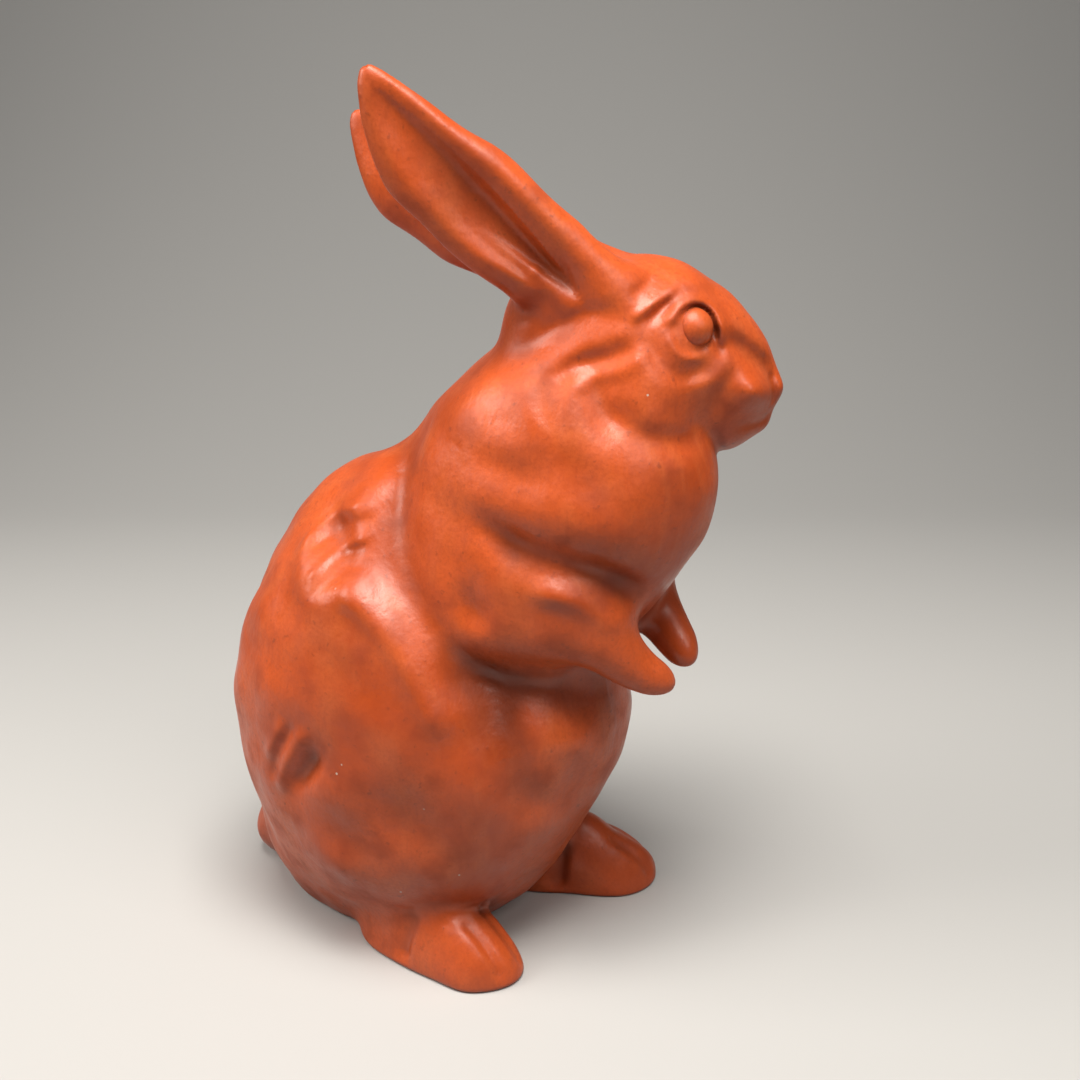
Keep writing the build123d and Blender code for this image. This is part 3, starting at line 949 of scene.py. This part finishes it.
# Pieces of clay
FORMS = {
    "torso": torso_field,
    "head": head_field,
    "right_ear": lambda p: ear_field(p, -1),
    "left_ear": lambda p: ear_field(p, 1),
    "right_foreleg": lambda p: foreleg_field(p, -1),
    "left_foreleg": lambda p: foreleg_field(p, 1),
    "right_hind_foot": lambda p: foot_field(p, -1),
    "left_hind_foot": lambda p: foot_field(p, 1),
    "tail": tail_field,
}
EYES = {"right_eye": -1, "left_eye": 1}
EYE_RINGS = 32
EYE_SPOKES = 64
FAN_DEPTH_SHARE = 0.6


def in_frame(rows):
    """Left, forward and up as the frame's x, y and z."""
    return np.stack([rows[0], -rows[1], rows[2]], 1)


def metres(points):
    """Places in millimetres as places in the frame."""
    return in_frame(points) / 1000.0


def clay_mesh(name, places, faces, hollow):
    """A smooth mesh that keeps how hollow the clay is at each of its points."""
    mesh = bpy.data.meshes.new(name)
    mesh.from_pydata(places.tolist(), [], faces)
    mesh.polygons.foreach_set("use_smooth", np.ones(len(faces), dtype=bool))
    layer = mesh.attributes.new("hollow", "FLOAT", "POINT")
    layer.data.foreach_set("value", hollow.astype(np.float32))
    return mesh


def rims(faces):
    """Loops of points along the open edges of quads, each in the order that a cap over it takes."""
    edges = np.concatenate([faces[:, [k, (k + 1) % 4]] for k in range(4)])
    known = {tuple(edge) for edge in edges}
    follow = {b: a for a, b in known if (b, a) not in known}
    while follow:
        first = next(iter(follow))
        loop = [first]
        after = follow.pop(first)
        while after is not None and after != first:
            loop.append(after)
            after = follow.pop(after, None)
        if len(loop) > 2:
            yield loop


def piece_mesh(name, points, normals, hollow, quads):
    """A closed mesh of some of the quads: a fan fills each rim and dips into the figure."""
    used, faces = np.unique(quads, return_inverse=True)
    faces = faces.reshape(-1, 4)
    places = [metres(points[:, used])]
    ways = [in_frame(normals[:, used])]
    hollows = [hollow[used]]
    fans = []
    count = len(used)
    for loop in rims(faces):
        size = len(loop)
        rim = places[0][loop]
        outward = ways[0][loop].mean(0)
        middle = rim.mean(0)
        spread = np.sqrt(((rim - middle) ** 2).sum(1)).mean()
        tip = middle - FAN_DEPTH_SHARE * spread * outward
        places += [rim, tip[None]]
        ways.append(np.repeat(-outward[None], size + 1, 0))
        hollows.append(np.ones(size + 1))
        fans += [(count + k, count + (k + 1) % size, count + size) for k in range(size)]
        count += size + 1
    mesh = clay_mesh(name, np.concatenate(places), faces.tolist() + fans, np.concatenate(hollows))
    mesh.normals_split_custom_set_from_vertices(np.concatenate(ways).tolist())
    return mesh


def eye_mesh(name, side):
    """A round pellet, closed, with its inner half inside the head."""
    angles = np.radians(180.0 * np.arange(1, EYE_RINGS) / EYE_RINGS)
    turns = np.radians(360.0 * np.arange(EYE_SPOKES) / EYE_SPOKES)
    level = np.repeat(np.cos(angles), EYE_SPOKES)
    wide = np.repeat(np.sin(angles), EYE_SPOKES)
    turn = np.tile(turns, EYE_RINGS - 1)
    pole = np.array([[1.0], [0.0], [0.0]])
    rows = np.stack([level, wide * np.cos(turn), wide * np.sin(turn)])
    ways = np.concatenate([pole, rows, -pole], 1)
    places = on_side(EYE_PLACE, side)[:, None] + EYE_RADIUS * ways
    points = HEAD_ORIGIN[:, None] + HEAD_TURN.T @ places
    normals = HEAD_TURN.T @ ways
    faces = []
    last = 1 + (EYE_RINGS - 1) * EYE_SPOKES
    for k in range(EYE_SPOKES):
        after = (k + 1) % EYE_SPOKES
        faces.append((0, 1 + after, 1 + k))
        for row in range(EYE_RINGS - 2):
            start = 1 + row * EYE_SPOKES
            faces.append((start + k, start + after, start + EYE_SPOKES + after, start + EYE_SPOKES + k))
        faces.append((last - EYE_SPOKES + k, last - EYE_SPOKES + after, last))
    return clay_mesh(name, metres(points), faces, hollowness(points, normals))


def add_piece(name, mesh):
    """A sculpted piece that stands for the solid of that name."""
    mesh.materials.append(clay)
    piece = bpy.data.objects.new("clay_" + name, mesh)
    bpy.context.collection.objects.link(piece)
    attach(piece, "root")
    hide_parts(name)


# The surface, parted at the seats of the pieces that are modelled apart
points, quads = surface()
points, normals = settle(points)
hollow = hollowness(points, normals)
middles = points[:, quads].mean(2)
labels = np.stack([in_chunks(form, middles) for form in FORMS.values()]).argmin(0)

clay = clay_material()
for number, name in enumerate(FORMS):
    add_piece(name, piece_mesh("clay_" + name, points, normals, hollow, quads[labels == number]))
for name, side in EYES.items():
    add_piece(name, eye_mesh("clay_" + name, side))

# The foot slab keeps its solid, in the same clay
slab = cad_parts["foot_slab"]
slab.data.materials.clear()
slab.data.materials.append(clay)

# Camera at the photograph's place and angle, and the picture that its focal length is measured in
CAMERA_PLACE = (-0.3471, -0.2248, 0.274)
CAMERA_DIP = 18.0
CAMERA_YAW = 65.0
FOCAL_PIXELS = 1165.0
PICTURE_PIXELS = 1080.0
SENSOR_WIDTH = 36.0
NEAREST_SEEN = 0.01

camera_data = bpy.data.cameras.new("camera")
camera_data.sensor_width = SENSOR_WIDTH
camera_data.lens = SENSOR_WIDTH * FOCAL_PIXELS / PICTURE_PIXELS
camera_data.clip_start = NEAREST_SEEN
camera = bpy.data.objects.new("camera", camera_data)
bpy.context.collection.objects.link(camera)
camera.location = CAMERA_PLACE
camera.rotation_euler = (np.radians(90.0 - CAMERA_DIP), 0.0, np.radians(-CAMERA_YAW))
bpy.context.scene.camera = camera
bpy.context.scene.view_settings.view_transform = "Standard"

# Sheet of paper, square to the camera: reach before and behind the figure, bend, height, half width
SHEET_FRONT = -2.5
SHEET_FLAT = 0.5
SHEET_BEND = 0.7
SHEET_TOP = 3.0
SHEET_HALF_WIDTH = 3.5
SHEET_BEND_STEPS = 24


def paper_sweep():
    """A sheet that lies flat under the figure and curves up behind it."""
    profile = [(SHEET_FRONT, 0.0), (SHEET_FLAT, 0.0)]
    for k in range(1, SHEET_BEND_STEPS + 1):
        angle = np.radians(90.0 * k / SHEET_BEND_STEPS)
        profile.append((SHEET_FLAT + SHEET_BEND * np.sin(angle), SHEET_BEND - SHEET_BEND * np.cos(angle)))
    profile.append((SHEET_FLAT + SHEET_BEND, SHEET_TOP))
    away_x, away_y = np.sin(np.radians(CAMERA_YAW)), np.cos(np.radians(CAMERA_YAW))
    places = []
    for reach, height in profile:
        for shift in (-SHEET_HALF_WIDTH, SHEET_HALF_WIDTH):
            places.append((reach * away_x + shift * away_y, reach * away_y - shift * away_x, height))
    faces = [(2 * k, 2 * k + 1, 2 * k + 3, 2 * k + 2) for k in range(len(profile) - 1)]
    mesh = bpy.data.meshes.new("paper")
    mesh.from_pydata(places, [], faces)
    mesh.polygons.foreach_set("use_smooth", np.ones(len(faces), dtype=bool))
    mesh.materials.append(paper_material())
    return mesh


sheet = bpy.data.objects.new("paper", paper_sweep())
bpy.context.collection.objects.link(sheet)

# Light: a faint sky, and soft lamps by name, place, target, size in metres and power in watts
SKY_COLOUR = (0.9, 0.92, 0.95, 1.0)
SKY_STRENGTH = 0.09
LAMP_COLOUR = (1.0, 0.95, 0.88)
LAMPS = [
    ("top_light", (-0.22, -0.19, 0.98), (0.0, -0.03, 0.14), 0.45, 11.8),
    ("side_light", (-0.39, 0.48, 0.62), (0.0, 0.0, 0.15), 0.40, 4.0),
    ("front_light", (-0.22, -0.66, 0.66), (0.0, -0.06, 0.15), 0.40, 1.5),
]


def add_lamp(name, place, target, size, power):
    """A square soft lamp that faces its target."""
    data = bpy.data.lights.new(name, "AREA")
    data.size = size
    data.energy = power
    data.color = LAMP_COLOUR
    lamp = bpy.data.objects.new(name, data)
    bpy.context.collection.objects.link(lamp)
    lamp.location = place
    lamp.rotation_euler = (Vector(target) - Vector(place)).to_track_quat("-Z", "Y").to_euler()


sky = bpy.data.worlds.new("studio")
sky.use_nodes = True
sky.node_tree.nodes["Background"].inputs["Color"].default_value = SKY_COLOUR
sky.node_tree.nodes["Background"].inputs["Strength"].default_value = SKY_STRENGTH
bpy.context.scene.world = sky
for lamp_values in LAMPS:
    add_lamp(*lamp_values)
